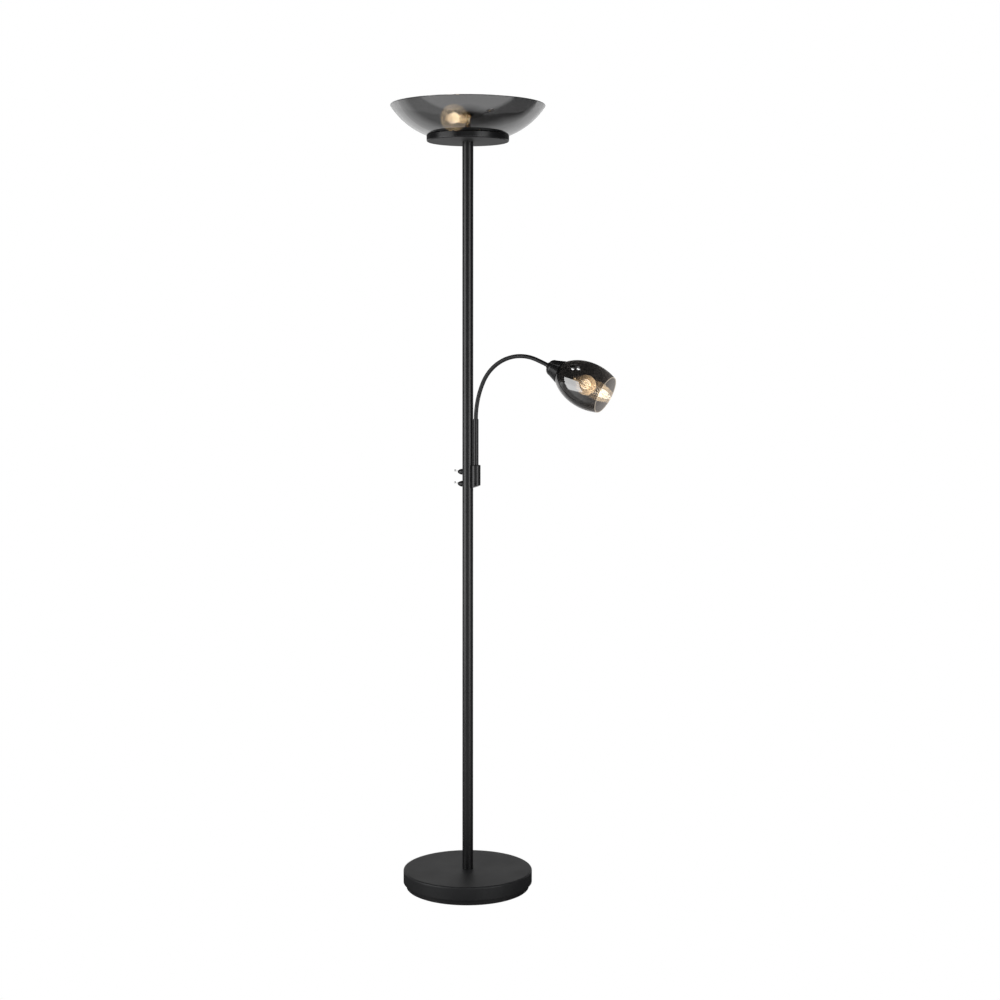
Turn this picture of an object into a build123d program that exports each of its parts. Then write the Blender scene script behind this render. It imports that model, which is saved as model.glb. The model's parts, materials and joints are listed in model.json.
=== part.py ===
from build123d import *

import os
from math import cos, pi, radians, sin, sqrt

# Torchiere floor lamp with a reading light on a gooseneck.
# Millimetres. +Z is up, the pole's axis is the Z axis and the floor is Z = 0.
# The gooseneck bends in the XZ plane towards +X, and the switches are on the -X side.

# Driving dimensions
RIM_HEIGHT = 1800.0
BASE_RADIUS = 150.0
BASE_TOP = 44.0
POLE_RADIUS = 12.5
POLE_WALL = 1.2
POLE_SECTIONS = 4
PAN_RADIUS = 93.0
PAN_BOTTOM = 1718.5
PAN_TOP = 1732.4
BOWL_ARC_RADIUS = 164.0
BOWL_ARC_CENTRE = (37.0, RIM_HEIGHT + 87.5)
BOWL_WALL = 3.5
NECK_RADIUS = 4.75
SLEEVE_RADIUS = 6.2
SLEEVE_TOP = 1094.0
ARM_X = 20.5
HEAD_LENGTH = 151.0

# Base
SHEET = 1.5
FELT_HEIGHT = 1.0
FELT_RADIUS = 140.0
FELT_WIDTH = 24.0
LIP_RADIUS = 143.0
LIP_TOP = 13.6
WEIGHT_RADIUS = 130.0
WEIGHT_BOTTOM = 4.0
WEIGHT_TOP = 15.0
STUD_RADIUS = 6.0
INLET_HEIGHT = 26.0
INLET_RADIUS = 3.3
STUD_BORE = 4.0
TRAY_SCREWS = 4
TRAY_SCREW_CIRCLE = 98.0
POLE_BORE = POLE_RADIUS - POLE_WALL

# Arm holder and switches
HOLDER_RADIUS = 10.8
HOLDER_BOTTOM = 936.0
HOLDER_TOP = 989.0
HOLDER_SLANT = 20.0
SLEEVE_FOOT = 943.0
LEAD_PORT_HEIGHT = 965.0
LEAD_PORT_RADIUS = 3.0
SET_SCREW_TURN = 20.0
SET_SCREW_HEIGHT = 946.9
SWITCH_HEIGHTS = {"lower": 944.8, "upper": 972.4}
SWITCH_TILT = 13.0
BUSHING_RADIUS = 3.2
BUSHING_BORE = 2.35
DRESS_NUT_TIP = -24.2
LEVER_PIVOT = -22.0
LEVER_BALL = 2.0

# Gooseneck: a line of arcs that turn towards +X, from the sleeve to the shade
NECK_ARCS = ((200.0, 25.0), (102.0, 87.0), (480.0, 3.0))
NECK_END_STRAIGHT = 8.5
NECK_BORE = 2.2
NECK_PIVOTS = (28.0, 82.0, 136.0, 190.0, 244.0)
NECK_IN_SLEEVE = 10.0
NECK_BALL = 3.9
NECK_CUP = 4.2
NECK_GAP = 2.8

# How the bowl is clamped on the pan
BOWL_BOTTOM = PAN_BOTTOM + 5.5
BOWL_FLOOR = BOWL_BOTTOM + BOWL_WALL
BOWL_HOLE = 20.0
CLAMP_TOP = BOWL_FLOOR + 3.5
BRACKET_TOP = CLAMP_TOP + 1.5
NUT_TOP = BRACKET_TOP + 5.5

# Torchiere lampholder and bulb: the bulb lies level and points to BULB_HEADING.
# The lampholder's lengths are measured along the bulb from its contact's tip.
BULB_HEADING = 247.0
BULB_HEIGHT = 1768.0
BULB_CENTRE = 41.5
NIPPLE_RADIUS = 5.0
NIPPLE_BORE = 3.4
SOCKET_BACK = -6.0
SOCKET_LEAD_ENTRY = 2.5
SOCKET_FRONT = 39.0
SOCKET_RADIUS = 18.6

# Bulbs. "foot" is how far the filaments reach from the globe's centre towards the cap, in globe radii.
BIG_BULB = {
    "globe": 30.0,
    "length": 105.0,
    "neck": 13.0,
    "flare": 45.0,
    "cap": 25.0,
    "cap_radius": 13.2,
    "foot": 0.9,
}
SMALL_BULB = {
    "globe": 22.5,
    "length": 78.0,
    "neck": 6.5,
    "flare": 20.0,
    "cap": 22.0,
    "cap_radius": 6.8,
    "foot": 0.7,
}
BULB_WALL = 1.0

# Reading head, measured along its own axis from the back of its metal cap
HEAD_BULB_START = 44.0
SHADE_SEAT = 28.5
HOLDER_BODY = 13.8

os.makedirs("parts", exist_ok=True)


# Helpers


def save(shape, name):
    """Write one sub-part as its own file."""
    export_step(Compound(shape.solids(), label=name), f"parts/{name}.step")


def turned(*edges):
    """A solid turned about the Z axis from joined edges in the XZ plane, closed by a last line."""
    outline = Wire(edges)
    if not outline.is_closed:
        outline = Wire([*edges, Edge.make_line(outline @ 1, outline @ 0)])
    return revolve(Face(outline), Axis.Z)


def corners(*points):
    """The edges between (radius, height) points in the XZ plane."""
    return [Edge.make_line((a[0], 0, a[1]), (b[0], 0, b[1])) for a, b in zip(points, points[1:])]


def arc(start, middle, end):
    """An arc through three (radius, height) points in the XZ plane."""
    return Edge.make_three_point_arc(*((p[0], 0, p[1]) for p in (start, middle, end)))


def ring(outer, inner, bottom, top):
    """A round ring or tube about the Z axis. An inner radius of 0 makes a rod."""
    section = Circle(outer) - Circle(inner) if inner else Circle(outer)
    return extrude(Pos(0, 0, bottom) * section, top - bottom)


def hex_nut(across_flats, bore, bottom, top):
    """A hexagon nut about the Z axis."""
    section = RegularPolygon(across_flats / sqrt(3), 6) - Circle(bore)
    return extrude(Pos(0, 0, bottom) * section, top - bottom)


def rod(start, end, radius):
    """A round rod from one point to another."""
    start, end = Vector(*start), Vector(*end)
    way = end - start
    return Solid.make_cylinder(radius, way.length, Plane(origin=start, z_dir=way))


def around(count, radius, height=0.0, first=0.0):
    """Places on a circle about the Z axis."""
    turns = [first + 360 * i / count for i in range(count)]
    return [Rot(0, 0, turn) * Pos(radius, 0, height) for turn in turns]


# Base


def base_cover():
    """The spun steel cover: a flat top with a rounded edge and a plain wall."""
    inner = BASE_RADIUS - SHEET
    bottom = LIP_TOP + 0.6
    edge, under = 4.0, 2.5
    bend, tight = edge * (1 - sqrt(0.5)), under * (1 - sqrt(0.5))
    top, ceiling = BASE_TOP, BASE_TOP - SHEET
    cover = turned(
        *corners((STUD_RADIUS + 0.2, ceiling), (STUD_RADIUS + 0.2, top), (BASE_RADIUS - edge, top)),
        arc((BASE_RADIUS - edge, top), (BASE_RADIUS - bend, top - bend), (BASE_RADIUS, top - edge)),
        *corners((BASE_RADIUS, top - edge), (BASE_RADIUS, bottom), (inner, bottom), (inner, ceiling - under)),
        arc((inner, ceiling - under), (inner - tight, ceiling - tight), (inner - under, ceiling)),
    )
    return cover - rod((0, 130, INLET_HEIGHT), (0, 160, INLET_HEIGHT), INLET_RADIUS + 1.2)


def base_tray():
    """The moulded tray: its lip is set in under the cover and carries it on a narrow flange."""
    tray = turned(
        *corners(
            (30, FELT_HEIGHT),
            (LIP_RADIUS - 1, FELT_HEIGHT),
            (LIP_RADIUS, FELT_HEIGHT + 1),
            (LIP_RADIUS, LIP_TOP),
            (BASE_RADIUS - SHEET - 0.3, LIP_TOP),
            (BASE_RADIUS - SHEET - 0.3, LIP_TOP + 2.4),
            (LIP_RADIUS - 2.5, LIP_TOP + 2.4),
            (LIP_RADIUS - 2.5, WEIGHT_BOTTOM),
            (30, WEIGHT_BOTTOM),
        )
    )
    for place in around(TRAY_SCREWS, TRAY_SCREW_CIRCLE, first=45):
        tray -= place * ring(2.2, 0, 0, WEIGHT_TOP)
    return tray


def base_weight():
    """The cast iron disc with a boss under the pole and a channel for the mains lead."""
    weight = turned(
        *corners(
            (18, WEIGHT_BOTTOM),
            (WEIGHT_RADIUS, WEIGHT_BOTTOM),
            (WEIGHT_RADIUS, WEIGHT_TOP - 2),
            (WEIGHT_RADIUS - 2, WEIGHT_TOP),
            (32, WEIGHT_TOP),
            (26, BASE_TOP - SHEET),
            (STUD_RADIUS + 0.3, BASE_TOP - SHEET),
            (STUD_RADIUS + 0.3, 28),
            (18, 28),
        )
    )
    weight -= Pos(0, 75, WEIGHT_BOTTOM + 3.5) * Box(9, 130, 7)
    for place in around(TRAY_SCREWS, TRAY_SCREW_CIRCLE, first=45):
        weight -= place * ring(2.0, 0, 0, 12)
    return weight


def tray_screws():
    """The pan-head screws that hold the tray to the weight."""
    screw = ring(2.0, 0, FELT_HEIGHT, 12) + ring(3.6, 0, 0.2, FELT_HEIGHT)
    return Compound([solid for place in around(TRAY_SCREWS, TRAY_SCREW_CIRCLE, first=45)
                     for solid in (place * screw).solids()])


def base_felt():
    """The felt ring that the lamp stands on."""
    return ring(FELT_RADIUS, FELT_RADIUS - FELT_WIDTH, 0, FELT_HEIGHT)


def inlet_grommet():
    """The rubber grommet where the mains lead enters the base at the back."""
    inner_seat = sqrt((BASE_RADIUS - SHEET) ** 2 - 6.5**2) - 0.05
    grommet = turned(
        *corners(
            (INLET_RADIUS, inner_seat - 2),
            (6.0, inner_seat - 2),
            (6.5, inner_seat),
            (INLET_RADIUS + 1.15, inner_seat),
            (INLET_RADIUS + 1.15, BASE_RADIUS + 0.05),
            (6.5, BASE_RADIUS + 0.05),
            (6.0, BASE_RADIUS + 2),
            (INLET_RADIUS, BASE_RADIUS + 2),
        )
    )
    return Pos(0, 0, INLET_HEIGHT) * Rot(-90, 0, 0) * grommet


def pole_stud():
    """The hollow threaded stud that clamps the pole, the cover and the weight together."""
    return ring(STUD_RADIUS, STUD_BORE, 14, 66)


# Pole


def seam_heights():
    """The heights of both ends of every pole section."""
    length = (PAN_BOTTOM - BASE_TOP) / POLE_SECTIONS
    return [BASE_TOP + length * i for i in range(POLE_SECTIONS + 1)]


def pole_section(index):
    """One length of steel tube, with the holes for the switches and the arm's lead where it has them."""
    bottom, top = seam_heights()[index : index + 2]
    bevel = 0.2
    section = turned(
        *corners(
            (POLE_BORE, bottom),
            (POLE_RADIUS - bevel, bottom),
            (POLE_RADIUS, bottom + bevel),
            (POLE_RADIUS, top - bevel),
            (POLE_RADIUS - bevel, top),
            (POLE_BORE, top),
        )
    )
    for height in SWITCH_HEIGHTS.values():
        if bottom < height < top:
            section -= rod((-20, 0, height), (0, 0, height), BUSHING_RADIUS)
    if bottom < LEAD_PORT_HEIGHT < top:
        section -= lead_port()
    return section


def pole_couplers():
    """The threaded couplers inside the pole's seams."""
    couplers = [ring(POLE_BORE, 7.5, height - 30, height + 30) for height in seam_heights()[1:-1]]
    return Compound([solid for coupler in couplers for solid in coupler.solids()])


# Arm holder and switches


def lead_port():
    """The way for the reading light's lead from the pole into the arm's sleeve."""
    return rod((0, 0, LEAD_PORT_HEIGHT), (ARM_X, 0, LEAD_PORT_HEIGHT), LEAD_PORT_RADIUS)


def arm_holder():
    """The upright block beside the pole that the arm's sleeve stands in."""
    block = Pos(ARM_X, 0, 0) * ring(HOLDER_RADIUS, 0, HOLDER_BOTTOM - 1, HOLDER_TOP)
    top_edges = block.edges().group_by(Axis.Z)[-1]
    block = fillet(top_edges, 1.5)
    low_corner = Pos(POLE_RADIUS, 0, HOLDER_BOTTOM) * Rot(0, -HOLDER_SLANT, 0) * Pos(10, 0, -15)
    block -= low_corner * Box(70, 40, 30)
    block -= ring(POLE_RADIUS, 0, HOLDER_BOTTOM - 20, HOLDER_TOP + 5)
    block -= Pos(ARM_X, 0, 0) * ring(SLEEVE_RADIUS, 0, SLEEVE_FOOT, HOLDER_TOP + 5)
    return block - lead_port() - set_screw_rod(SLEEVE_RADIUS - 1, HOLDER_RADIUS + 1)


def set_screw_rod(start, end):
    """The line of the holder's set screw between two distances from the sleeve's axis."""
    way = set_screw_way()
    centre = Vector(ARM_X, 0, SET_SCREW_HEIGHT)
    return rod(centre + way * start, centre + way * end, 2.0)


def set_screw_way():
    """The direction that the set screw's head faces."""
    return Vector(sin(radians(SET_SCREW_TURN)), -cos(radians(SET_SCREW_TURN)), 0)


def arm_holder_screw():
    """The socket set screw that grips the sleeve's foot."""
    face = Vector(ARM_X, 0, SET_SCREW_HEIGHT) + set_screw_way() * (HOLDER_RADIUS - 0.6)
    key = extrude(Plane(origin=face, z_dir=-set_screw_way()) * RegularPolygon(1.15, 6), 2)
    return set_screw_rod(SLEEVE_RADIUS + 0.05, HOLDER_RADIUS - 0.6) - key


def arm_sleeve():
    """The straight steel tube that carries the gooseneck."""
    sleeve = ring(SLEEVE_RADIUS, NECK_RADIUS, SLEEVE_FOOT, SLEEVE_TOP)
    rim = sleeve.edges().filter_by(GeomType.CIRCLE).group_by(Axis.Z)[-1].sort_by(SortBy.RADIUS)[-1]
    return Pos(ARM_X, 0, 0) * chamfer(rim, 0.6) - lead_port()


def switch_saddle(height):
    """The saddle washer between the round pole and the flat dress nut."""
    blank = rod((-14.0, 0, height), (-9, 0, height), 6.6)
    return blank - rod((-20, 0, height), (0, 0, height), BUSHING_RADIUS) - ring(POLE_RADIUS, 0, 900, 1000)


def switch_nut(height):
    """The conical dress nut on a switch's threaded bushing."""
    tip = -DRESS_NUT_TIP
    nut = turned(
        *corners((BUSHING_RADIUS, 14.0), (6.7, 14.0), (6.7, 15.0)),
        arc((6.7, 15.0), (5.7, 19.4), (3.7, tip - 1.0)),
        arc((3.7, tip - 1.0), (3.45, tip - 0.3), (3.0, tip)),
        *corners((3.0, tip), (2.7, tip), (2.7, tip - 1.1), (BUSHING_RADIUS, tip - 1.1)),
    )
    return Pos(0, 0, height) * Rot(0, -90, 0) * nut


def switch_body(height):
    """A switch's case inside the pole, with its threaded bushing and solder lugs."""
    case = Pos(-4.5, 0, 0) * Box(10, 8, 12)
    bushing = rod((-9.5, 0, 0), (DRESS_NUT_TIP + 1.1, 0, 0), BUSHING_RADIUS)
    well = rod((-16, 0, 0), (-30, 0, 0), BUSHING_BORE)
    body = case + bushing - well
    for lug in (-4, 0, 4):
        body += Pos(2.5, 0, lug) * Box(4, 2, 0.8)
    return Pos(0, 0, height) * body


def toggle_lever(height):
    """The chromed bat lever, tilted up at rest, with the ball that it rocks on."""
    tail, neck, grip = 0.7, 1.0, 1.3
    knob, knob_radius = 10.8, 2.3
    foot = -sqrt(LEVER_BALL**2 - tail**2)
    shoulder = sqrt(LEVER_BALL**2 - neck**2)
    knob_foot = knob - sqrt(knob_radius**2 - grip**2)
    lever = turned(
        *corners((0, -3.8), (tail, -3.8), (tail, foot)),
        arc((tail, foot), (LEVER_BALL, 0), (neck, shoulder)),
        *corners((neck, shoulder), (grip, knob_foot)),
        arc((grip, knob_foot), (knob_radius, knob), (0, knob + knob_radius)),
    )
    return Pos(LEVER_PIVOT, 0, height) * Rot(0, SWITCH_TILT - 90, 0) * lever


# Gooseneck


def neck_pieces():
    """The gooseneck's centre line: (start, length, radius, start point, heading), radius None if straight."""
    pieces = []
    travelled, point, heading = 0.0, Vector(ARM_X, 0, SLEEVE_TOP), 90.0
    for radius, turn in NECK_ARCS:
        length = radius * radians(turn)
        pieces.append((travelled, length, radius, point, heading))
        travelled, (point, heading) = travelled + length, step_along(pieces[-1], length)
    pieces.append((travelled, NECK_END_STRAIGHT, None, point, heading))
    return pieces


def step_along(piece, distance):
    """The point and heading at a distance along one piece of the centre line."""
    _, _, radius, point, heading = piece
    if radius is None:
        way = Vector(cos(radians(heading)), 0, sin(radians(heading)))
        return point + way * distance, heading
    after = heading - distance / radius * 180 / pi
    x = radius * (sin(radians(heading)) - sin(radians(after)))
    z = radius * (cos(radians(after)) - cos(radians(heading)))
    return point + Vector(x, 0, z), after


def neck_at(distance):
    """The point and heading at a distance along the gooseneck. Below 0 it is straight, in the sleeve."""
    if distance < 0:
        return Vector(ARM_X, 0, SLEEVE_TOP + distance), 90.0
    piece = [p for p in neck_pieces() if p[0] <= distance + 1e-9][-1]
    return step_along(piece, distance - piece[0])


def neck_length():
    """The gooseneck's length from the sleeve to the reading head."""
    return neck_pieces()[-1][0] + NECK_END_STRAIGHT


def neck_plane(distance):
    """The plane square to the gooseneck at a distance along it."""
    point, heading = neck_at(distance)
    way = Vector(cos(radians(heading)), 0, sin(radians(heading)))
    return Plane(origin=point, x_dir=(0, 1, 0), z_dir=way)


def neck_path(start, end):
    """The centre line between two distances."""
    stops = [start] + [p[0] for p in neck_pieces() if start + 0.01 < p[0] < end - 0.01] + [end]
    edges = []
    for low, high in zip(stops, stops[1:]):
        ends = neck_at(low)[0], neck_at((low + high) / 2)[0], neck_at(high)[0]
        straight = high <= 0 or low >= neck_pieces()[-1][0] - 0.01
        edges.append(Edge.make_line(ends[0], ends[2]) if straight else Edge.make_three_point_arc(*ends))
    return Wire(edges)


def neck_link(index):
    """One stretch of the gooseneck: a cup at its lower end and a ball at its upper end."""
    first, last = index == 0, index == len(NECK_PIVOTS)
    start = -NECK_IN_SLEEVE if first else NECK_PIVOTS[index - 1]
    end = neck_length() - 3 if last else NECK_PIVOTS[index] - NECK_GAP
    section = neck_plane(start) * (Circle(NECK_RADIUS) - Circle(NECK_BORE))
    link = sweep(section, neck_path(start, end))
    if not first:
        link -= Pos(neck_at(start)[0]) * Sphere(NECK_CUP)
    if not last:
        pivot = NECK_PIVOTS[index]
        bore = neck_plane(pivot).location * Cylinder(NECK_BORE, 12)
        link += Pos(neck_at(pivot)[0]) * Sphere(NECK_BALL) - bore
    return link


# Reading head, drawn about the Z axis and then laid along the gooseneck's last heading


def on_head(shape):
    """Move a shape from its own axis to the reading head."""
    return neck_plane(neck_length()).location * shape


def in_holder(shape):
    """Move a small bulb's shape along the head's axis to its place in the lampholder."""
    return Pos(0, 0, HEAD_BULB_START) * shape


def head_ferrule():
    """The threaded end fitting of the gooseneck."""
    return ring(6.4, NECK_BORE, -3, 0) + ring(NIPPLE_RADIUS, NECK_BORE, 0, 10)


def shade_cap():
    """The black metal cap over the lampholder."""
    return turned(
        *corners((NIPPLE_RADIUS, 1.2), (NIPPLE_RADIUS, 0), (8.5, 0)),
        arc((8.5, 0), (15.3, 4.0), (18.8, 12)),
        *corners((18.8, 12), (26.6, 33.5), (25.4, 33.5), (17.6, 12.3)),
        arc((17.6, 12.3), (14.4, 5.0), (8.5, 1.2)),
    )


def reading_socket():
    """The lampholder: a hollow foot, a shoulder behind the glass and a threaded front round the bulb."""
    floor, front = HEAD_BULB_START - 1, HEAD_BULB_START + 25
    return turned(
        *corners(
            (NIPPLE_RADIUS, 5.4),
            (11, 5.4),
            (HOLDER_BODY, 9),
            (HOLDER_BODY, SHADE_SEAT - 3),
            (17, SHADE_SEAT - 3),
            (17, SHADE_SEAT),
            (HOLDER_BODY, SHADE_SEAT),
            (HOLDER_BODY, front - 1),
            (HOLDER_BODY - 1, front),
            (8.2, front),
            (8.2, floor),
            (NIPPLE_RADIUS, floor),
            (NIPPLE_RADIUS, floor - 3),
            (HOLDER_BODY - 2.3, floor - 3),
            (HOLDER_BODY - 2.3, 12),
            (NIPPLE_RADIUS, 12),
        )
    )


def socket_contacts(radius, top):
    """A lampholder's brass screw shell and the strip under the bulb's tip, whose height is 0."""
    shell = ring(radius + 0.4, radius, 5, top)
    strip = Pos(0, 0, -0.65) * Box(radius * 1.3, 4, 0.7) + ring(1.9, 0, -0.3, 0)
    return Compound([*shell.solids(), *strip.solids()])


def shade_ring():
    """The ribbed ring that screws onto the lampholder and clamps the glass."""
    blank = ring(18.5, HOLDER_BODY, SHADE_SEAT + 2.5, SHADE_SEAT + 8)
    for place in around(18, 18.9):
        blank -= place * ring(0.8, 0, SHADE_SEAT, SHADE_SEAT + 10)
    return blank


def reading_shade():
    """The tulip glass: a flat seat round the lampholder, a wall that swells and draws in to the mouth."""
    mouth = HEAD_LENGTH
    outer = [(22.9, SHADE_SEAT + 2.5), (41.5, 58), (51.5, 103), (43.2, mouth - 0.6)]
    inner = [(21.6, SHADE_SEAT + 4.4), (39.4, 59.2), (49.5, 103), (41.4, mouth - 0.6)]
    outside = Edge.make_spline([(r, 0, t) for r, t in outer])
    inside = Edge.make_spline([(r, 0, t) for r, t in reversed(inner)])
    return turned(
        *corners((14.2, SHADE_SEAT + 2.5), (14.2, SHADE_SEAT), (20.8, SHADE_SEAT)),
        arc((20.8, SHADE_SEAT), (22.2, SHADE_SEAT + 0.9), (22.9, SHADE_SEAT + 2.5)),
        outside,
        arc((43.2, mouth - 0.6), (42.3, mouth), (41.4, mouth - 0.6)),
        inside,
        *corners((21.6, SHADE_SEAT + 4.4), (19.8, SHADE_SEAT + 2.5), (14.2, SHADE_SEAT + 2.5)),
    )


# Bulbs, drawn about the Z axis from the contact's tip up


def bulb_outline(bulb, inset):
    """The edges of a bulb's glass from its neck to its crown: a line, a hollow arc and the globe."""
    globe, neck, flare = bulb["globe"] - inset, bulb["neck"] - inset, bulb["flare"] + inset
    centre = bulb["length"] - bulb["globe"]
    hip = centre - sqrt((globe + flare) ** 2 - (neck + flare) ** 2)
    toward = Vector(neck + flare, 0, hip) - Vector(0, 0, centre)
    touch = Vector(0, 0, centre) + toward.normalized() * globe
    chord = (Vector(neck, 0, hip) + touch) * 0.5
    hollow = Vector(neck + flare, 0, hip)
    middle = hollow + (chord - hollow).normalized() * flare
    line = Edge.make_line((neck, 0, bulb["cap"] - 3), (neck, 0, hip))
    bend = Edge.make_three_point_arc(Vector(neck, 0, hip), middle, touch)
    dome = Edge.make_three_point_arc(touch, (globe, 0, centre), (0, 0, centre + globe))
    return line, bend, dome


def bulb_glass(bulb):
    """The clear envelope, an open shell down into the cap."""
    outer, inner = bulb_outline(bulb, 0), bulb_outline(bulb, BULB_WALL)
    crown = Edge.make_line(outer[2] @ 1, inner[2] @ 1)
    foot = Edge.make_line(inner[0] @ 0, outer[0] @ 0)
    return turned(*outer, crown, *reversed(inner), foot)


def bulb_cap(bulb):
    """The metal screw cap with its insulated floor and centre contact."""
    radius, neck, top = bulb["cap_radius"], bulb["neck"], bulb["cap"]
    return turned(
        *corners(
            (0, 0),
            (radius * 0.3, 0),
            (radius * 0.5, 2.2),
            (radius, 4.5),
            (radius, top),
            (neck, top),
            (neck, top - 3),
            (radius - 1, top - 3),
            (radius - 1, 5.5),
            (0, 5.5),
        )
    )


def bulb_stem(bulb):
    """The glass stem that carries the filaments."""
    neck, top = bulb["neck"] - BULB_WALL, bulb["cap"]
    crown = bulb["length"] - bulb["globe"] * 1.55
    return turned(
        *corners(
            (0, top - 3),
            (neck, top - 3),
            (neck * 0.45, top + 5),
            (bulb["globe"] * 0.09, top + 9),
            (bulb["globe"] * 0.09, crown),
            (0, crown),
        )
    )


def bulb_filaments(bulb, count):
    """The light-emitting rods, in a cage that narrows towards the crown."""
    globe = bulb["globe"]
    centre = bulb["length"] - globe
    rods = []
    for i in range(count):
        turn = 2 * pi * i / count
        low = (globe * 0.30 * cos(turn), globe * 0.30 * sin(turn), centre - globe * bulb["foot"])
        high = (globe * 0.16 * cos(turn), globe * 0.16 * sin(turn), centre + globe * 0.52)
        rods.append(rod(low, high, globe * 0.027))
    return Compound(rods)


def bulb_wires(bulb, count):
    """The support wires from the stem out to the foot and over the top of each rod."""
    globe = bulb["globe"]
    centre = bulb["length"] - globe
    crown = bulb["length"] - globe * 1.55
    thin = globe * 0.012
    hub = rod((0, 0, crown), (0, 0, centre + globe * 0.58), thin * 1.5)
    for i in range(count):
        turn = 2 * pi * i / count
        out = Vector(cos(turn), sin(turn), 0)
        top = Vector(0, 0, centre + globe * 0.56)
        hub += rod(top, top + out * globe * 0.17 - Vector(0, 0, globe * 0.04), thin)
        low = Vector(0, 0, centre - globe * (bulb["foot"] + 0.06))
        hub += rod(low + out * globe * 0.09, low + out * globe * 0.31 + Vector(0, 0, globe * 0.06), thin)
    return hub


# Torchiere head


def pan():
    """The shallow black pan that carries the glass bowl."""
    edge = 3.0
    bend = edge * (1 - sqrt(0.5))
    inside, floor, lip = PAN_RADIUS - SHEET, PAN_BOTTOM + SHEET, PAN_TOP - 0.5
    under, side = (PAN_RADIUS - edge, PAN_BOTTOM), (PAN_RADIUS, PAN_BOTTOM + edge)
    return turned(
        *corners((NIPPLE_RADIUS, floor), (NIPPLE_RADIUS, PAN_BOTTOM), under),
        arc(under, (PAN_RADIUS - bend, PAN_BOTTOM + bend), side),
        *corners(side, (PAN_RADIUS, lip)),
        arc((PAN_RADIUS, lip), (PAN_RADIUS - SHEET / 2, PAN_TOP), (inside, lip)),
        *corners((inside, lip), (inside, floor + 1), (inside - 1, floor)),
    )


def bowl_radius(arc_radius, height):
    """The bowl's radius at a height, for an arc of a given radius."""
    centre_r, centre_z = BOWL_ARC_CENTRE
    return centre_r + sqrt(arc_radius**2 - (centre_z - height) ** 2)


def glass_bowl():
    """The wide open glass bowl with a clamped hole in its flat floor."""
    outer, inner = BOWL_ARC_RADIUS, BOWL_ARC_RADIUS - BOWL_WALL
    middle, rim = 1750.0, RIM_HEIGHT - 1.6
    outside = [(bowl_radius(outer, z), z) for z in (BOWL_BOTTOM, middle, rim)]
    inside = [(bowl_radius(inner, z), z) for z in (rim, middle, BOWL_FLOOR)]
    return turned(
        *corners((BOWL_HOLE, BOWL_FLOOR), (BOWL_HOLE, BOWL_BOTTOM), outside[0]),
        arc(*outside),
        arc(outside[2], ((outside[2][0] + inside[0][0]) / 2 + 0.3, RIM_HEIGHT), inside[0]),
        arc(*inside),
    )


def seat_gasket():
    """The rubber ring between the pan and the glass."""
    return ring(44, 26, PAN_BOTTOM + SHEET, BOWL_BOTTOM)


def clamp_gasket():
    """The stepped rubber washer that centres the bowl on the nipple."""
    return turned(
        *corners(
            (NIPPLE_RADIUS, BOWL_BOTTOM - 1),
            (BOWL_HOLE - 0.2, BOWL_BOTTOM - 1),
            (BOWL_HOLE - 0.2, BOWL_FLOOR),
            (30, BOWL_FLOOR),
            (30, BOWL_FLOOR + 2),
            (NIPPLE_RADIUS, BOWL_FLOOR + 2),
        )
    )


def bulb_axis(distance, height=BULB_HEIGHT):
    """A point on the level bulb's axis at a distance from the pole's axis."""
    turn = radians(BULB_HEADING)
    return Vector(cos(turn) * distance, sin(turn) * distance, height)


def on_bulb(shape):
    """Move a shape from its own axis to the level bulb's, with the contact's tip as the origin."""
    tip = BULB_CENTRE - (BIG_BULB["length"] - BIG_BULB["globe"])
    way = bulb_axis(1, 0)
    return Plane(origin=bulb_axis(tip), x_dir=(0, 0, 1), z_dir=way).location * shape


def socket_back():
    """How far behind the pole's axis the lampholder's back face is."""
    return BIG_BULB["length"] - BIG_BULB["globe"] - BULB_CENTRE - SOCKET_BACK


def socket_bracket():
    """The bent strap from the clamp up to the back of the lampholder."""
    thick, width, toe = 1.5, 18.0, 10.0
    back = socket_back() + thick
    top = BULB_HEIGHT + 9
    foot = Pos((toe - back) / 2, 0, CLAMP_TOP + thick / 2) * Box(back + toe, width, thick)
    riser = Pos(thick / 2 - back, 0, (CLAMP_TOP + top) / 2) * Box(thick, width, top - CLAMP_TOP)
    strap = foot + riser
    strap -= ring(NIPPLE_RADIUS, 0, CLAMP_TOP - 2, NUT_TOP)
    strap -= rod((-back - 5, 0, BULB_HEIGHT), (-back + 5, 0, BULB_HEIGHT), NIPPLE_RADIUS)
    return Rot(0, 0, BULB_HEADING) * strap


def lead_hole():
    """The hole for the lead in the underside of the lampholder."""
    entry = SOCKET_LEAD_ENTRY - SOCKET_BACK - socket_back()
    return rod(bulb_axis(entry, BULB_HEIGHT - 25), bulb_axis(entry, BULB_HEIGHT - 13.5), 2.6)


def torchiere_socket_body():
    """The lampholder's front shell round the bulb's cap."""
    return turned(
        *corners(
            (17.2, 12),
            (SOCKET_RADIUS, 12),
            (SOCKET_RADIUS, SOCKET_FRONT - 4),
            (17.8, SOCKET_FRONT - 3),
            (17.8, SOCKET_FRONT),
            (14.6, SOCKET_FRONT),
            (14.6, 14),
            (17.2, 14),
        )
    )


def torchiere_socket_cap():
    """The lampholder's back shell with the threaded neck."""
    return turned(
        *corners((NIPPLE_RADIUS, SOCKET_BACK), (11.0, SOCKET_BACK)),
        arc((11.0, SOCKET_BACK), (16.2, SOCKET_BACK + 2.2), (SOCKET_RADIUS, SOCKET_BACK + 7.5)),
        *corners(
            (SOCKET_RADIUS, SOCKET_BACK + 7.5),
            (SOCKET_RADIUS, 11.4),
            (17.2, 11.4),
            (17.2, SOCKET_BACK + 7.8),
            (14, SOCKET_BACK + 3),
            (NIPPLE_RADIUS, SOCKET_BACK + 3),
        ),
    )


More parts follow.
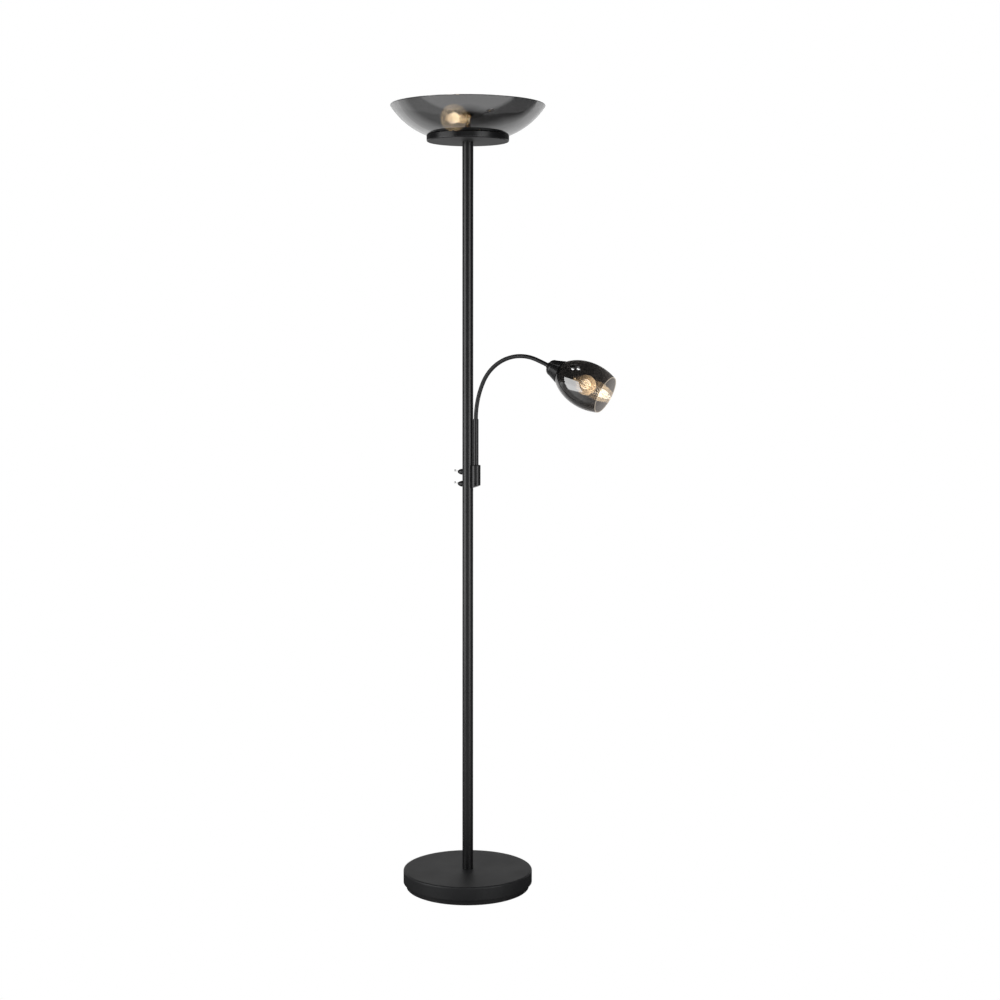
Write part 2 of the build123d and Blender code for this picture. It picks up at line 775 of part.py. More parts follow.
def torchiere_socket_core():
    """The moulded core that holds the contacts, seated between the two shells."""
    return turned(
        *corners(
            (0, SOCKET_BACK + 3.6),
            (12.5, SOCKET_BACK + 3.6),
            (17.0, 4),
            (17.0, 13.9),
            (14.4, 13.9),
            (14.4, 2.6),
            (9, -1),
            (0, -1),
        )
    )


def torchiere_nipples():
    """The hollow threaded nipples through the pan and through the bracket."""
    upright = ring(NIPPLE_RADIUS, NIPPLE_BORE, PAN_BOTTOM - 22, NUT_TOP + 2)
    level = on_bulb(ring(NIPPLE_RADIUS, NIPPLE_BORE, SOCKET_BACK - 8.5, SOCKET_BACK + 3))
    return Compound([*upright.solids(), *level.solids()])


def torchiere_nuts():
    """The hexagon nuts on the two nipples."""
    upright = hex_nut(14, NIPPLE_RADIUS, BRACKET_TOP, NUT_TOP)
    level = on_bulb(hex_nut(14, NIPPLE_RADIUS, SOCKET_BACK - 7, SOCKET_BACK - 1.5))
    return Compound([*upright.solids(), *level.solids()])


def torchiere_lead():
    """The twin lead from the switches up the pole, through the nipple and into the lampholder."""
    level = NUT_TOP + 6.5
    entry = SOCKET_LEAD_ENTRY - SOCKET_BACK - socket_back()
    corner = bulb_axis(entry, level)
    start = Vector(0, 0, 990)
    path = FilletPolyline(start, (0, 0, level), corner, corner + Vector(0, 0, 8.5), radius=4)
    return sweep(Plane(origin=start) * Circle(2.3), path)


# Write every sub-part

for name, shape in {
    "base_felt": base_felt(),
    "base_tray": base_tray(),
    "tray_screws": tray_screws(),
    "base_weight": base_weight(),
    "base_cover": base_cover(),
    "inlet_grommet": inlet_grommet(),
    "pole_stud": pole_stud(),
    "stud_nut": hex_nut(19, STUD_RADIUS, 17.4, 26.4),
    "stud_washer": ring(16, STUD_RADIUS, 26.4, 28),
    "pole_foot_bush": ring(POLE_BORE, STUD_RADIUS, BASE_TOP, 68),
    "pole_couplers": pole_couplers(),
    "pole_top_bush": ring(POLE_BORE, NIPPLE_RADIUS, PAN_BOTTOM - 24, PAN_BOTTOM),
    "arm_holder": arm_holder(),
    "arm_holder_screw": arm_holder_screw(),
    "arm_sleeve": arm_sleeve(),
    "head_ferrule": on_head(head_ferrule()),
    "head_nut": on_head(hex_nut(13, NIPPLE_RADIUS, 1.2, 5.2)),
    "shade_cap": on_head(shade_cap()),
    "reading_socket": on_head(reading_socket()),
    "shade_ring": on_head(shade_ring()),
    "reading_shade": on_head(reading_shade()),
    "pan": pan(),
    "torchiere_nipples": torchiere_nipples(),
    "seat_gasket": seat_gasket(),
    "glass_bowl": glass_bowl(),
    "clamp_gasket": clamp_gasket(),
    "clamp_disc": ring(32, NIPPLE_RADIUS, BOWL_FLOOR + 2, CLAMP_TOP),
    "socket_bracket": socket_bracket(),
    "torchiere_nuts": torchiere_nuts(),
    "torchiere_socket_cap": on_bulb(torchiere_socket_cap()) - lead_hole(),
    "torchiere_socket_body": on_bulb(torchiere_socket_body()),
    "torchiere_socket_core": on_bulb(torchiere_socket_core()) - lead_hole(),
    "torchiere_contacts": on_bulb(socket_contacts(BIG_BULB["cap_radius"] + 0.3, 26)),
    "reading_contacts": on_head(in_holder(socket_contacts(SMALL_BULB["cap_radius"] + 0.4, 22))),
    "torchiere_lead": torchiere_lead(),
}.items():
    save(shape, name)

for index in range(POLE_SECTIONS):
    save(pole_section(index), f"pole_section_{index + 1}")

for index in range(len(NECK_PIVOTS) + 1):
    save(neck_link(index), f"neck_link_{index + 1}")

for level, height in SWITCH_HEIGHTS.items():
    save(toggle_lever(height), f"toggle_lever_{level}")
save(Compound([s for z in SWITCH_HEIGHTS.values() for s in switch_body(z).solids()]), "switch_bodies")
save(Compound([s for z in SWITCH_HEIGHTS.values() for s in switch_nut(z).solids()]), "switch_nuts")
save(Compound([s for z in SWITCH_HEIGHTS.values() for s in switch_saddle(z).solids()]), "switch_saddles")

for lamp, bulb, place, rods in (
    ("torchiere", BIG_BULB, on_bulb, 6),
    ("reading", SMALL_BULB, lambda shape: on_head(in_holder(shape)), 4),
):
    save(place(bulb_glass(bulb)), f"{lamp}_bulb_glass")
    save(place(bulb_cap(bulb)), f"{lamp}_bulb_cap")
    save(place(bulb_stem(bulb)), f"{lamp}_bulb_stem")
    save(place(bulb_filaments(bulb, rods)), f"{lamp}_bulb_filaments")
    save(place(bulb_wires(bulb, rods)), f"{lamp}_bulb_wires")
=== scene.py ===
import json
from math import cos, pi, radians, sin

import bpy
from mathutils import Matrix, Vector


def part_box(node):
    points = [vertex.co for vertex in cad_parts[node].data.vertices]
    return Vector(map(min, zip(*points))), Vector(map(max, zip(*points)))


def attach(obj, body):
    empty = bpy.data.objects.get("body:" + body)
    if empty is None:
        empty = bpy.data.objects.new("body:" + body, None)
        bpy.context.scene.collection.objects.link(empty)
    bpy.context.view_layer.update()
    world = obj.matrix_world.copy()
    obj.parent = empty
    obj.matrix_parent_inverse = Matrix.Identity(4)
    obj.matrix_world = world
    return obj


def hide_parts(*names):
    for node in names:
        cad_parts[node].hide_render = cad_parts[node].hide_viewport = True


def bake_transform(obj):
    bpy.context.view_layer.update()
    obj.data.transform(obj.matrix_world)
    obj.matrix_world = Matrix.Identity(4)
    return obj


# Torchiere floor lamp with a reading light on a gooseneck.
# Metres, +Z up, the pole on the Z axis, the floor at 0, the reading arm towards +X.

# The camera, fitted to the photograph
CAMERA_PLACE = (1.7527, -3.5852, 1.2570)
CAMERA_TURN = (85.0, -0.1, 25.0)
CAMERA_LENS = 62.82
CAMERA_SENSOR = 36.0
CAMERA_SIDE = -65.0  # the camera's direction from the lamp, as an angle about Z

# What the floor and the background show in reflections, where neither is plain white.
# Each row is (light, light, from, to): one light changes to the other between two distances,
# behind the pole or to its right as the camera looks. The background's are heights of a direction.
FLOOR_FRONT = (0.45, 0.0, -0.3, 0.0)
FLOOR_BACK = (0.0, 0.45, 0.5, 1.7)
FLOOR_FAR = (0.0, 0.15, 1.8, 3.2)
FLOOR_END = (1.0, 0.0, 3.1, 3.3)
FLOOR_STRIP = (0.18, 0.03, -0.4, 0.4)
FLOOR_PAINTED_SHADE = (0.05, 1.0, 0.2, 0.7)  # painted shade round the pole's foot: by distance from it, times the rest
FLOOR_SKEW = 1.0  # further right than this, the pale floor at the back starts further away
FLOOR_MATT = (0.1, 0.1, 0.1)
FLOOR_HALF = 15.0
BACKGROUND = (0.1, 0.03, -1.0, 0.3)

# Upright panels: (name, angle to the right of the camera, distance, width, heights, radiance)
SOFTBOXES = (
    ("softbox_left", -63.5, 2.6, 2.26, (0.0, 2.1), 2.6),
    ("softbox_right", 42.0, 2.6, 1.5, (0.0, 2.1), 2.6),
    ("backdrop", 180.0, 3.2, 8.0, (0.0, 2.0), 0.575),
    ("fill", 0.0, 4.5, 3.0, (0.0, 3.0), 0.18),
)
# Panels over the reading shade: (name, spot on it, angle to the right, angle up, distance)
SPOTS = (
    ("spot_low", (0.274, -0.039, 1.210), -88.0, 58.5, 2.2),
    ("spot_high", (0.286, -0.037, 1.211), -77.0, 70.5, 2.0),
)
SPOT_SIZE = (0.3, 0.2)
SPOT_RADIANCE = 6.0

# The bulbs' bright cores: (name, bulb, body, shift from its filaments, power, radius, colour)
CORE_SHIFT = (-0.003, -0.008, 0.0)
CORES = (
    ("torchiere_light_1", "torchiere", "stand", CORE_SHIFT, 0.6, 0.0145, (1.0, 0.9, 0.74)),
    ("torchiere_light_2", "torchiere", "stand", CORE_SHIFT, 0.4, 0.0105, (0.9, 0.95, 1.0)),
    ("reading_light", "reading", "reading_head", (0.0, 0.0, 0.0), 0.05, 0.0135, (0.98, 0.96, 0.9)),
)
BULB_TURN = 247.0  # the way the torchiere's bulb points, as an angle about Z
SHADE_RISE = -25.0  # the way the reading shade opens, as an angle up from +X

# The bowl's tint changes over this depth under its rim, the shade's from this far past its middle
BOWL_TINT_DEPTH = 0.07
SHADE_TINT_START = 0.008
MOUTH_PAINTED_GLOW = (0.0012, 0.0004)  # how far inside the mouth the painted glow on the edge starts, and is full
GLOBE_GLOW = (0.026, 0.008)  # the same for a bulb's glass, behind its filaments

SATIN_BLACK = (0.006, 0.006, 0.0065)
PAN_UNDER_BAND = 0.0015  # over this height the pan's smooth side turns into its coarser underside

# The gooseneck's centre line: arcs of (radius, turn), then a straight end
NECK_ARCS = ((0.200, 25.0), (0.102, 87.0), (0.480, 3.0))
NECK_STRAIGHT = 0.0085
NECK_RADIUS = 0.00475
NECK_PIVOTS = (0.028, 0.082, 0.136, 0.190, 0.244)
NECK_SLEEVED = 0.008  # the skin's length inside the sleeve
NECK_END_GAP = 0.0025
NECK_BEND = 0.0265  # half of a stretch round each pivot; the ends worked out from it are not used
RIB_PITCH = 0.0024
RIB_DEPTH = 0.0003
RIB_ROWS = 7
RIB_SIDES = 28

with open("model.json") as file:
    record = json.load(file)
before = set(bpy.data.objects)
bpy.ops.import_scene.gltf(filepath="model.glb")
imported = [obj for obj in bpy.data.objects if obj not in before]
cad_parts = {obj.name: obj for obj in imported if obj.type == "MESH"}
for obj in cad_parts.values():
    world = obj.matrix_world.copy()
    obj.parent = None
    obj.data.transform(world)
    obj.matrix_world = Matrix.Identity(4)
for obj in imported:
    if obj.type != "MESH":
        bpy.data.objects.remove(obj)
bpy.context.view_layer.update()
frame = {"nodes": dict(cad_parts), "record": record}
nodes = frame["nodes"]


def add_object(name, data):
    """A new object in the scene."""
    made = bpy.data.objects.new(name, data)
    bpy.context.scene.collection.objects.link(made)
    return made


def centre_of(node):
    """The middle of a node's box."""
    low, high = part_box(node)
    return (low + high) / 2


# Materials


class Graph:
    """Short calls that add nodes to a shader tree."""

    def __init__(self, tree):
        self.tree = tree
        self.place = self.node("TexCoord").outputs["Object"]

    def fill(self, target, value):
        """Set a socket to a value, or link it to another node's output."""
        if isinstance(value, bpy.types.NodeSocket):
            self.tree.links.new(value, target)
        elif isinstance(value, tuple) and len(target.default_value) == 4:
            target.default_value = (*value, 1.0)
        else:
            target.default_value = value

    def node(self, kind, inputs=None, **settings):
        """Add a node. Inputs are values or other nodes' outputs, by socket name or number."""
        made = self.tree.nodes.new("ShaderNode" + kind)
        for name, value in settings.items():
            setattr(made, name, value)
        for name, value in (inputs or {}).items():
            self.fill(made.inputs[name], value)
        return made

    def mapped(self, scale=(1.0, 1.0, 1.0), turn=0.0):
        """The place turned about Z, with each axis scaled."""
        inputs = {"Vector": self.place, "Scale": scale, "Rotation": (0.0, 0.0, turn)}
        return self.node("Mapping", inputs).outputs[0]

    def noise(self, scale, detail=2.0, place=None):
        inputs = {"Vector": place or self.place, "Scale": scale, "Detail": detail}
        return self.node("TexNoise", inputs).outputs[0]

    def span(self, value, low, high, start=0.3, end=0.7):
        """A value from start to end, spread from low to high. A noise lies mostly in 0.3 to 0.7."""
        inputs = {"Value": value, "From Min": start, "From Max": end, "To Min": low, "To Max": high}
        return self.node("MapRange", inputs).outputs[0]

    def blend(self, factor, first, second):
        """A colour between two colours."""
        return self.node("Mix", {0: factor, 6: first, 7: second}, data_type="RGBA").outputs[2]

    def maths(self, operation, first, second):
        return self.node("Math", {0: first, 1: second}, operation=operation).outputs[0]

    def away(self, point):
        """The distance from a point."""
        return self.vectors("DISTANCE", point)

    def along(self, way):
        """How far along a direction the place is."""
        return self.vectors("DOT_PRODUCT", way)

    def vectors(self, operation, other):
        """A measure of the place against another vector."""
        made = self.node("VectorMath", {0: self.place, 1: tuple(other)}, operation=operation)
        return made.outputs["Value"]


class Look(Graph):
    """A material with one Principled shader."""

    def __init__(self, name, **sockets):
        self.material = bpy.data.materials.new(name)
        self.material.use_nodes = True
        super().__init__(self.material.node_tree)
        self.shader = self.tree.nodes["Principled BSDF"]
        self.bumps = None
        for socket, value in sockets.items():
            self.put(socket, value)

    def put(self, socket, value):
        """Set one of the shader's sockets."""
        self.fill(self.shader.inputs[socket.replace("_", " ")], value)

    def bump(self, height, distance, strength=1.0):
        """Add relief of a height map on top of what is there."""
        inputs = {"Height": height, "Distance": distance, "Strength": strength}
        if self.bumps:
            inputs["Normal"] = self.bumps
        self.bumps = self.node("Bump", inputs).outputs[0]
        self.put("Normal", self.bumps)


def paler(colour, gain=1.7, lift=0.002):
    """A black's paler tone, for dust and wear."""
    return tuple(c * gain + lift for c in colour)


def painted(name, colour, roughness, grain, relief):
    """Black powder coat: a fine grain, slow changes of gloss and a little dust in the colour."""
    look = Look(name, Specular_IOR_Level=0.5)
    fine = look.noise(grain, 3.0)
    slow = look.noise(14.0, 3.0)
    tone = look.blend(look.span(fine, 0.0, 0.6), colour, paler(colour))
    look.put("Base Color", look.blend(look.span(slow, 0.0, 0.35), tone, paler(colour)))
    gloss = look.span(slow, roughness - 0.03, roughness + 0.03)
    look.put("Roughness", look.maths("ADD", gloss, look.span(fine, -0.02, 0.03)))
    look.bump(fine, relief)
    look.bump(look.noise(grain * 0.22, 2.0), relief * 1.6, 0.6)
    return look.material


def pan_paint(name, colour, under):
    """The pan's black coat, which is coarser below a height."""
    look = Look(name, Specular_IOR_Level=0.5)
    fine = look.noise(900.0, 3.0)
    look.put("Base Color", look.blend(look.span(fine, 0.0, 0.5), colour, paler(colour)))
    smooth = look.span(look.noise(14.0, 3.0), 0.25, 0.31)
    coarse = look.span(look.along((0.0, 0.0, 1.0)), 0.3, 0.0, under, under + PAN_UNDER_BAND)
    look.put("Roughness", look.maths("ADD", smooth, coarse))
    look.bump(fine, 0.00002)
    return look.material


def moulded(name, colour, roughness):
    """Moulded plastic or rubber with a fine spark-eroded texture."""
    look = Look(name, Specular_IOR_Level=0.45)
    grain = look.noise(1800.0, 2.0)
    clouds = look.noise(40.0, 2.0)
    tone = look.span(clouds, 0.0, 0.5)
    look.put("Base Color", look.blend(tone, colour, paler(colour, 1.6, 0.003)))
    look.put("Roughness", look.span(grain, roughness - 0.05, roughness + 0.06))
    look.bump(grain, 0.00003)
    return look.material


def metal(name, colour, roughness, grain=(1.0, 1.0, 1.0), dull=0.75):
    """Bare metal with fine marks, drawn out along an axis by the grain, and duller clouds."""
    look = Look(name, Metallic=1.0)
    marks = look.noise(900.0, 3.0, look.mapped(grain))
    clouds = look.noise(60.0, 3.0)
    darker = tuple(c * dull for c in colour)
    look.put("Base Color", look.blend(look.span(clouds, 0.0, 1.0), colour, darker))
    rough = look.span(marks, roughness * 0.75, roughness * 1.3)
    look.put("Roughness", look.maths("ADD", rough, 0.02))
    look.bump(marks, 0.000008)
    return look.material


def cast_iron():
    """Sand-cast iron with patches of rust."""
    look = Look("cast_iron", Metallic=0.6)
    sand = look.noise(420.0, 5.0)
    rust = look.span(look.noise(35.0, 4.0), 0.0, 0.7, 0.5, 0.75)
    look.put("Base Color", look.blend(rust, (0.06, 0.06, 0.06), (0.11, 0.06, 0.035)))
    look.put("Roughness", look.span(sand, 0.55, 0.8))
    look.bump(sand, 0.0004)
    return look.material


def felt():
    """Black felt: matted fibres with a faint sheen."""
    look = Look("felt", Roughness=0.95, Sheen_Weight=0.4, Sheen_Roughness=0.5)
    fibres = look.noise(900.0, 4.0, look.mapped((1.0, 2.6, 1.0)))
    matted = look.noise(220.0, 3.0)
    tone = look.span(fibres, 0.0, 1.0)
    look.put("Base Color", look.blend(tone, (0.012, 0.012, 0.013), (0.05, 0.05, 0.052)))
    look.bump(fibres, 0.0003)
    look.bump(matted, 0.0004)
    return look.material


def ceramic():
    """Unglazed cream ceramic with a few darker specks."""
    look = Look("socket_ceramic", Specular_IOR_Level=0.5)
    speck = look.noise(700.0, 2.0)
    tone = look.span(speck, 0.0, 1.0, 0.55, 0.75)
    look.put("Base Color", look.blend(tone, (0.78, 0.75, 0.68), (0.55, 0.5, 0.42)))
    look.put("Roughness", look.span(speck, 0.5, 0.65))
    look.bump(speck, 0.00005)
    return look.material


def lead_jacket():
    """A braided sleeve of fine black yarn."""
    look = Look("lead_jacket", Roughness=0.7, Sheen_Weight=0.2)
    waves = []
    for turn in (0.7, -0.7):
        inputs = {"Vector": look.mapped(turn=turn), "Scale": 420.0, "Distortion": 0.6}
        waves.append(look.node("TexWave", inputs).outputs[1])
    weave = look.maths("MAXIMUM", *waves)
    look.put("Base Color", look.blend(weave, (0.012, 0.012, 0.013), (0.06, 0.06, 0.062)))
    look.bump(weave, 0.0002)
    return look.material


def smoke_glass(name, tint, pale, mirror, low, high, axis=(0.0, 0.0, 1.0), glow=0.0):
    """Smoke glass with a thin mirror film. Both change from low to high along an axis.

    With a glow, the edge at the high end gets a painted glow, a warm emission that stands in for a
    lit bulb's light at the cut edge of the glass.
    """
    look = Look(name, Transmission_Weight=1.0, IOR=1.5, Coat_IOR=2.9, Coat_Roughness=0.03)
    height = look.along(axis)
    along = look.span(height, 0.0, 1.0, low, high)
    look.put("Coat Weight", look.span(height, *mirror, low, high))
    # painted glow: the glass's edge near the mouth gives off light of its own
    if glow:
        start, full = (high - inside for inside in MOUTH_PAINTED_GLOW)
        look.put("Emission Color", (1.0, 0.86, 0.7))
        look.put("Emission Strength", look.span(height, 0.0, glow, start, full))
    cloud = look.span(look.noise(22.0, 2.0), -0.06, 0.06)
    look.put("Base Color", look.blend(look.maths("ADD", along, cloud), tint, pale))
    look.put("Roughness", look.span(look.noise(90.0, 3.0), 0.012, 0.03))
    look.bump(look.noise(30.0, 1.0), 0.0002, 0.4)
    return look.material


def stem_glass(name, strength):
    """A bulb's inner stem: clear glass with draw lines, which glows with the filaments round it."""
    look = Look(name, Transmission_Weight=1.0, IOR=1.5, Emission_Color=(1.0, 0.84, 0.6))
    lines = look.noise(260.0, 2.0, look.mapped((1.0, 1.0, 4.0)))
    look.put("Emission Strength", look.span(lines, strength * 0.8, strength))
    look.put("Base Color", look.blend(lines, (1.0, 0.99, 0.96), (0.94, 0.95, 0.93)))
    look.put("Roughness", look.span(lines, 0.0, 0.05))
    look.bump(lines, 0.00005)
    return look.material


def lit_glass(name, way, middle, strength, colour):
    """Clear bulb glass that glows from a little behind the filaments' middle to its crown."""
    look = Look(name, Transmission_Weight=1.0, IOR=1.45, Emission_Color=colour)
    start, full = (middle - behind for behind in GLOBE_GLOW)
    glow = look.span(look.along(way), 0.06, 1.0, start, full)
    haze = look.span(look.noise(120.0, 2.0), 0.8, 1.0)
    glow = look.maths("MULTIPLY", glow, haze)
    look.put("Emission Strength", look.maths("MULTIPLY", glow, strength))
    look.put("Base Color", look.blend(look.noise(60.0), (1.0, 0.95, 0.86), (0.97, 0.9, 0.78)))
    look.put("Roughness", look.span(look.noise(150.0, 2.0), 0.0, 0.03))
    return look.material


def filament(name, strength):
    """A lit rod with a warm yellow coating, a little uneven along its length."""
    look = Look(name, Roughness=0.6, Emission_Color=(1.0, 0.8, 0.52))
    grain = look.noise(700.0, 2.0)
    look.put("Base Color", look.blend(grain, (1.0, 0.72, 0.35), (1.0, 0.8, 0.5)))
    look.put("Emission Strength", look.span(grain, strength * 0.8, strength * 1.1))
    return look.material


def make_looks():
    """Materials by slot, and by node for the pan and for each bulb's and shade's glass."""
    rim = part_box("glass_bowl")[1].z
    bulb_way = Vector((cos(radians(BULB_TURN)), sin(radians(BULB_TURN)), 0.0))
    shade_way = Vector((cos(radians(SHADE_RISE)), 0.0, sin(radians(SHADE_RISE))))
    bulb_middle = centre_of("torchiere_bulb_filaments").dot(bulb_way)
    reading_middle = centre_of("reading_bulb_filaments").dot(shade_way)
    shade_start = centre_of("reading_shade").dot(shade_way) + SHADE_TINT_START
    mouth = max(p.co.dot(shade_way) for p in nodes["reading_shade"].data.vertices)
    return {
        "black_satin": painted("black_satin", SATIN_BLACK, 0.28, 900.0, 0.00002),
        "black_base": painted("black_base", (0.016, 0.0165, 0.0175), 0.5, 1300.0, 0.00004),
        "black_neck": painted("black_neck", (0.008, 0.008, 0.009), 0.42, 1500.0, 0.000015),
        "black_screw": metal("black_screw", (0.03, 0.03, 0.031), 0.35, (1.0, 1.0, 6.0)),
        "black_plastic": moulded("black_plastic", (0.008, 0.008, 0.009), 0.42),
        "tray_plastic": moulded("tray_plastic", (0.014, 0.014, 0.015), 0.6),
        "black_rubber": moulded("black_rubber", (0.01, 0.01, 0.01), 0.75),
        "felt": felt(),
        "cast_iron": cast_iron(),
        "zinc_steel": metal("zinc_steel", (0.62, 0.62, 0.6), 0.32),
        "chrome": metal("chrome", (0.8, 0.8, 0.8), 0.08, dull=0.95),
        "torchiere_bulb_stem": stem_glass("torchiere_stem", 3.5),
        "reading_bulb_stem": stem_glass("reading_stem", 2.0),
        "brass": metal("brass", (0.78, 0.56, 0.24), 0.25),
        "bulb_cap_metal": metal("bulb_cap_metal", (0.78, 0.77, 0.74), 0.25, (1.0, 1.0, 8.0)),
        "bulb_wire": metal("bulb_wire", (0.55, 0.5, 0.42), 0.3),
        "socket_ceramic": ceramic(),
        "lead_jacket": lead_jacket(),
        "pan": pan_paint("black_pan", SATIN_BLACK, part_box("pan")[0].z),
        "glass_bowl": smoke_glass(
            "smoke_bowl",
            tint=(0.068, 0.067, 0.067),
            pale=(0.05, 0.05, 0.051),
            mirror=(1.0, 1.0),
            low=rim - BOWL_TINT_DEPTH,
            high=rim,
        ),
        "reading_shade": smoke_glass(
            "smoke_shade",
            tint=(0.062, 0.055, 0.05),
            pale=(0.28, 0.262, 0.248),
            mirror=(0.6, 0.0),
            low=shade_start,
            high=mouth,
            axis=shade_way,
            # painted glow along the shade's mouth
            glow=0.45,
        ),
        "torchiere_bulb_filaments": filament("torchiere_filament", 150.0),
        "reading_bulb_filaments": filament("reading_filament", 5.0),
        "torchiere_bulb_glass": lit_glass(
            "lit_bulb", bulb_way, bulb_middle, strength=1.2, colour=(1.0, 0.76, 0.46)
        ),
        "reading_bulb_glass": lit_glass(
            "lit_reading_bulb", shade_way, reading_middle, strength=1.05, colour=(1.0, 0.77, 0.5)
        ),
    }


def dress_nodes():
    """Give each node the look of its own name, or else of its slot."""
    for part in frame["record"]["subparts"]:
        name, slot = part["node"], part["material_slot"]
        if name in nodes and (name in looks or slot in looks):
            nodes[name].data.materials.clear()
            nodes[name].data.materials.append(looks.get(name) or looks[slot])


looks = make_looks()
dress_nodes()


# Gooseneck: a ribbed skin in five lengths, each built round one pivot


def neck_line(distance):
    """The centre point and the heading of the gooseneck at a distance past the sleeve's top."""
    low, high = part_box("arm_sleeve")
    point, heading = Vector(((low.x + high.x) / 2, 0.0, high.z)), pi / 2
    if distance < 0:
        return point + Vector((0.0, 0.0, distance)), heading
    for radius, turn in NECK_ARCS:
        length = min(distance, radius * radians(turn))
        after = heading - length / radius
        point += Vector((sin(heading) - sin(after), 0.0, cos(after) - cos(heading))) * radius
        heading, distance = after, distance - length
    return point + Vector((cos(heading), 0.0, sin(heading))) * distance, heading


def neck_skin(index, start, end):
    """One length of the skin: a wound rib that runs on without a break from length to length."""
    step = RIB_PITCH / RIB_ROWS
    first, last = round(start / step), round(end / step)
    points, faces = [], []
    for row in range(first, last + 1):
        centre, heading = neck_line(row * step)
        side, up = Vector((0.0, 1.0, 0.0)), Vector((-sin(heading), 0.0, cos(heading)))
        for i in range(RIB_SIDES):
            turn = 2 * pi * i / RIB_SIDES
            crest = abs(sin(pi * (row / RIB_ROWS + i / RIB_SIDES)))
            radius = NECK_RADIUS - RIB_DEPTH * (1 - crest**0.7)
            points.append(centre + (side * cos(turn) + up * sin(turn)) * radius)
    rows = last - first
    for row in range(rows):
        for i in range(RIB_SIDES):
            j = (i + 1) % RIB_SIDES
            a, b = row * RIB_SIDES, (row + 1) * RIB_SIDES
            faces.append((a + i, b + i, b + j, a + j))
    faces.append(tuple(range(RIB_SIDES)))
    faces.append(tuple(rows * RIB_SIDES + i for i in reversed(range(RIB_SIDES))))
    mesh = bpy.data.meshes.new(f"neck_skin_{index + 1}")
    mesh.from_pydata(points, [], faces)
    mesh.polygons.foreach_set("use_smooth", [len(p.vertices) == 4 for p in mesh.polygons])
    mesh.materials.append(looks["black_neck"])
    return add_object(mesh.name, mesh)


def make_neck():
    """The skin of the gooseneck, from inside the sleeve to just short of the head."""
    middles = [(a + b) / 2 for a, b in zip(NECK_PIVOTS, NECK_PIVOTS[1:])]
    length = sum(radius * radians(turn) for radius, turn in NECK_ARCS) + NECK_STRAIGHT
    ends = [-NECK_SLEEVED, *middles, length - NECK_END_GAP]
    for i, pivot in enumerate(NECK_PIVOTS):
        skin = neck_skin(i, ends[i], ends[i + 1])
        start, end = neck_line(pivot - NECK_BEND)[0], neck_line(pivot + NECK_BEND)[0]
        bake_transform(skin)
        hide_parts(f"neck_link_{i + 1}")
        if i == len(NECK_PIVOTS) - 1:
            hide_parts(f"neck_link_{i + 2}")


make_neck()


# Stage: floor, studio light and camera


def stage_shader(tree, kind, socket, make_dim):
    """A shader that is plain white to the camera and through glass.

    It is another, dimmer one in what it lights and in what reflects it.
    """
    tree.nodes.clear()
    graph = Graph(tree)
    path = graph.node("LightPath").outputs
    seen = graph.maths("MAXIMUM", path["Is Camera Ray"], path["Is Transmission Ray"])
    white = graph.node(kind, {"Color": (1.0, 1.0, 1.0)}).outputs[0]
    mixed = graph.node("MixShader", {0: seen, 1: make_dim(graph), 2: white}).outputs[0]
    graph.node("Output" + socket, {"Surface": mixed})


def world_light(graph):
    """The dark studio round the lamp, a little paler towards the floor."""
    up = graph.node("SeparateXYZ", {0: graph.node("TexCoord").outputs["Generated"]}).outputs["Z"]
    return graph.node("Background", {"Color": graph.span(up, *BACKGROUND)}).outputs[0]


def paper_light(graph):
    """A floor that is pale in front of the lamp and behind it, with a dark strip between.

    It is darker on the right, and carries painted shade close to the pole. It was fitted to the
    photograph's reflections.
    """
    turned = graph.node("SeparateXYZ", {0: graph.mapped(turn=radians(-90 - CAMERA_SIDE))}).outputs
    right, behind = turned["X"], turned["Y"]
    front = graph.span(behind, *FLOOR_FRONT)
    beside = graph.maths("MAXIMUM", graph.maths("SUBTRACT", right, FLOOR_SKEW), 0.0)
    skewed = graph.maths("SUBTRACT", behind, beside)
    back = graph.maths("ADD", graph.span(skewed, *FLOOR_BACK), graph.span(behind, *FLOOR_FAR))
    back = graph.maths("MULTIPLY", back, graph.span(behind, *FLOOR_END))
    strip = graph.span(right, *FLOOR_STRIP)
    glow = graph.maths("MAXIMUM", graph.maths("MAXIMUM", front, back), strip)
    # painted shade on the floor round the pole's foot
    near = graph.span(graph.away((0.0, 0.0, 0.0)), *FLOOR_PAINTED_SHADE)
    light = graph.node("Emission", {"Strength": graph.maths("MULTIPLY", glow, near)}).outputs[0]
    matt = graph.node("BsdfDiffuse", {"Color": FLOOR_MATT}).outputs[0]
    return graph.node("AddShader", {0: light, 1: matt}).outputs[0]


def make_world():
    world = bpy.data.worlds.new("studio")
    world.use_nodes = True
    stage_shader(world.node_tree, "Background", "World", world_light)
    bpy.context.scene.world = world


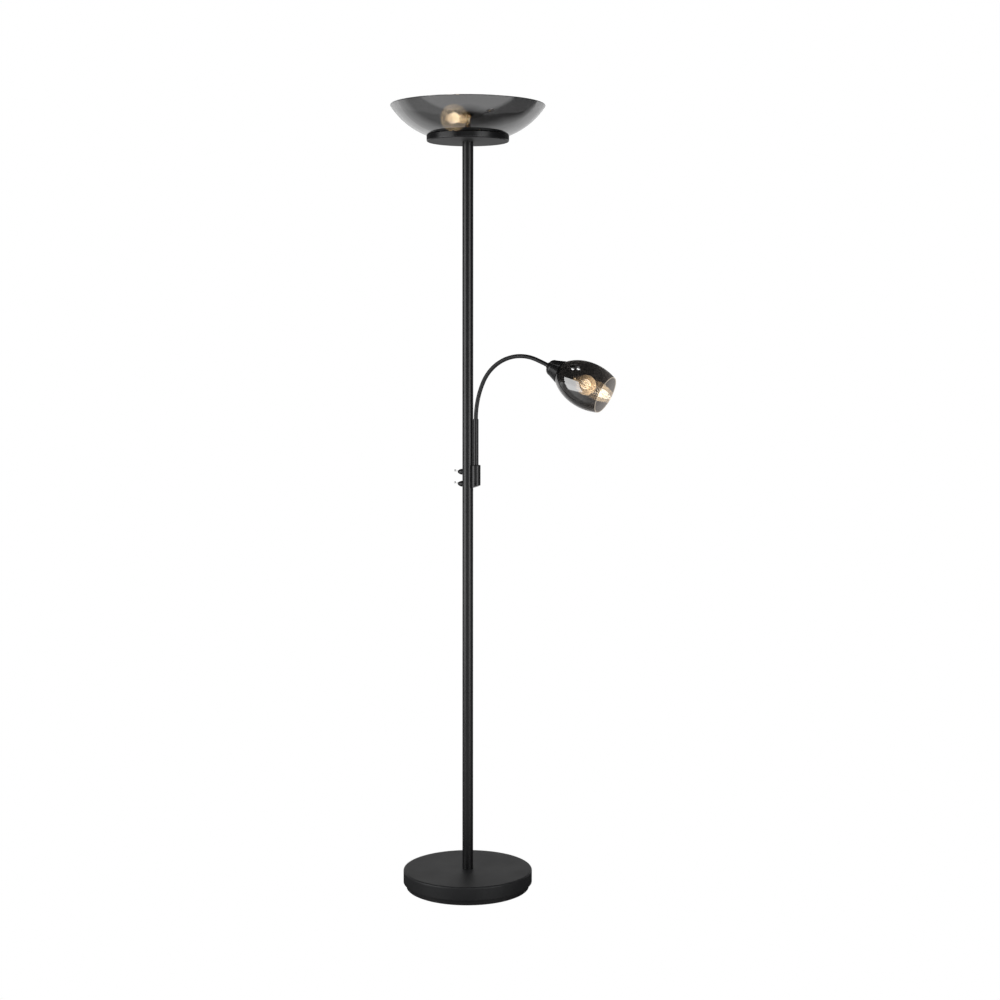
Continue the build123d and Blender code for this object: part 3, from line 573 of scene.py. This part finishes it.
def make_floor():
    mesh = bpy.data.meshes.new("floor")
    corners = [(x * FLOOR_HALF, y * FLOOR_HALF, 0) for x, y in ((-1, -1), (1, -1), (1, 1), (-1, 1))]
    mesh.from_pydata(corners, [], [(0, 1, 2, 3)])
    floor = add_object("floor", mesh)
    material = bpy.data.materials.new("floor")
    material.use_nodes = True
    stage_shader(material.node_tree, "Emission", "Material", paper_light)
    mesh.materials.append(material)


def panel(name, place, target, size, radiance):
    """A flat lamp that faces a target. It isn't seen directly or through glass."""
    lamp = bpy.data.lights.new(name, "AREA")
    lamp.shape = "RECTANGLE"
    lamp.size, lamp.size_y = size
    lamp.energy = radiance * pi * size[0] * size[1]
    made = add_object(name, lamp)
    made.location = place
    made.rotation_euler = (target - place).to_track_quat("-Z", "Y").to_euler()
    made.visible_camera = False
    made.visible_transmission = False


def softbox(name, side, distance, width, heights, radiance):
    """An upright panel at an angle to the right of the camera, as the pole sees it."""
    low, high = heights
    turn = radians(CAMERA_SIDE + side)
    place = Vector((cos(turn) * distance, sin(turn) * distance, (low + high) / 2))
    panel(name, place, Vector((0.0, 0.0, place.z)), (width, high - low), radiance)


def overhead(name, spot, side, up, distance):
    """A small panel that the reading shade mirrors, in a direction from a spot on the shade."""
    turn, rise = radians(CAMERA_SIDE + side), radians(up)
    way = Vector((cos(turn) * cos(rise), sin(turn) * cos(rise), sin(rise)))
    panel(name, Vector(spot) + way * distance, Vector(spot), SPOT_SIZE, SPOT_RADIANCE)


def bulb_core(name, bulb, body, shift, power, radius, colour):
    """The light of a lit bulb: its white core, and what it throws on the things near it."""
    lamp = bpy.data.lights.new(name, "POINT")
    lamp.energy = power
    lamp.color = colour
    lamp.shadow_soft_size = radius
    made = add_object(name, lamp)
    made.location = centre_of(f"{bulb}_bulb_filaments") + Vector(shift)
    made.visible_camera = False
    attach(made, body)


def make_lights():
    for row in SOFTBOXES:
        softbox(*row)
    for row in SPOTS:
        overhead(*row)
    for row in CORES:
        bulb_core(*row)


def make_camera():
    data = bpy.data.cameras.new("camera")
    data.lens = CAMERA_LENS
    data.sensor_width = CAMERA_SENSOR
    camera = add_object("camera", data)
    camera.location = CAMERA_PLACE
    camera.rotation_euler = tuple(radians(a) for a in CAMERA_TURN)
    bpy.context.scene.camera = camera


make_world()
make_floor()
make_lights()
make_camera()
bpy.context.scene.view_settings.view_transform = "Standard"
